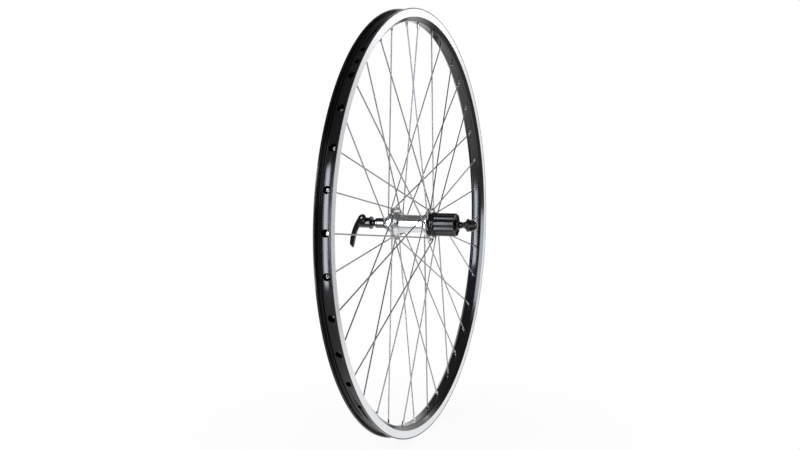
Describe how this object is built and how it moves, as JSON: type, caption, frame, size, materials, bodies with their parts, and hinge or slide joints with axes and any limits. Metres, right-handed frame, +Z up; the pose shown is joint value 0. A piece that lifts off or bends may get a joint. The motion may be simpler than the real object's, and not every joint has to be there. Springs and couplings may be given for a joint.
{
  "type": "bicycle wheel",
  "caption": "Rear bicycle wheel with a black double-wall rim, crossed steel spokes, silver hub, splined freehub and quick-release skewer, for rim brakes.",
  "frame": {"origin": "centre of the axle, in the middle plane of the rim", "axes": "+Y along the axle to the lever side, -Y to the freehub side, +X forward and +Z up"},
  "size_m": [0.6345, 0.1916, 0.6346],
  "materials": {
    "rim_black": "gloss anodised",
    "spoke_steel": "drawn bright",
    "nipple_plated": "nickel plated",
    "hub_silver": "polished",
    "bearing_steel": "ground",
    "freehub_black": "black oxide",
    "seal_black": "matt",
    "skewer_black": "gloss painted"
  },
  "bodies": {
    "axle_set": {"axle": "bearing_steel", "bearing_cones": "bearing_steel", "left_spacer": "bearing_steel", "left_locknut": "bearing_steel", "right_locknut": "freehub_black"},
    "wheel_body": {"rim": "rim_black", "right_leading_spokes": "spoke_steel", "left_leading_spokes": "spoke_steel", "right_trailing_spokes": "spoke_steel", "left_trailing_spokes": "spoke_steel", "nipples": "nipple_plated", "hub_shell": "hub_silver", "left_cup": "bearing_steel", "left_dust_cap": "hub_silver", "freehub_carrier": "bearing_steel", "carrier_bolt": "bearing_steel", "right_dust_cap": "seal_black"},
    "ball_set": {"bearing_balls": "bearing_steel"},
    "freehub_driver": {"freehub_body": "freehub_black"},
    "first_pawl": {"pawl_1": "bearing_steel"},
    "second_pawl": {"pawl_2": "bearing_steel"},
    "skewer_head": {"cam_housing": "skewer_black", "clamp_washer": "bearing_steel", "left_spring": "bearing_steel"},
    "lever_arm": {"lever": "skewer_black", "cam_shaft": "bearing_steel"},
    "skewer_pull": {"skewer_rod": "bearing_steel", "right_spring": "bearing_steel"},
    "nut_body": {"adjusting_nut": "skewer_black"}
  },
  "joints": [
    {"name": "wheel_spin", "type": "hinge", "parent": "axle_set", "child": "wheel_body", "pos_m": [0, 0, 0], "axis": [0, 1, 0], "continuous": true},
    {"name": "ball_orbit", "type": "hinge", "parent": "axle_set", "child": "ball_set", "pos_m": [0, 0, 0], "axis": [0, 1, 0], "continuous": true},
    {"name": "freehub_spin", "type": "hinge", "parent": "wheel_body", "child": "freehub_driver", "pos_m": [0, -0.044, 0], "axis": [0, 1, 0], "continuous": true},
    {"name": "first_pawl_rock", "type": "hinge", "parent": "wheel_body", "child": "first_pawl", "pos_m": [0.0124, -0.0278, 0], "axis": [0, -1, 0], "range_deg": [0, 18], "stiffness_Nm_per_rad": 0.002, "springref_deg": -17.19},
    {"name": "second_pawl_rock", "type": "hinge", "parent": "wheel_body", "child": "second_pawl", "pos_m": [-0.0124, -0.0278, 0], "axis": [0, -1, 0], "range_deg": [0, 18], "stiffness_Nm_per_rad": 0.002, "springref_deg": -17.19},
    {"name": "skewer_turn", "type": "hinge", "parent": "axle_set", "child": "skewer_head", "pos_m": [0, 0.08, 0], "axis": [0, 1, 0], "continuous": true},
    {"name": "lever_throw", "type": "hinge", "parent": "skewer_head", "child": "lever_arm", "pos_m": [0, 0.086, 0], "axis": [0.788, 0, -0.6157], "range_deg": [0, 180]},
    {"name": "rod_pull", "type": "slide", "parent": "skewer_head", "child": "skewer_pull", "axis": [0, -1, 0], "range_m": [0, 0.002]},
    {"name": "nut_turn", "type": "hinge", "parent": "skewer_pull", "child": "nut_body", "pos_m": [0, -0.088, 0], "axis": [0, 1, 0], "continuous": true}
  ],
  "couplings": [
    {"joint": "ball_orbit", "follows": "wheel_spin", "ratio": 0.6155},
    {"joint": "rod_pull", "follows": "lever_throw", "m_per_rad": 0.00063661}
  ]
}
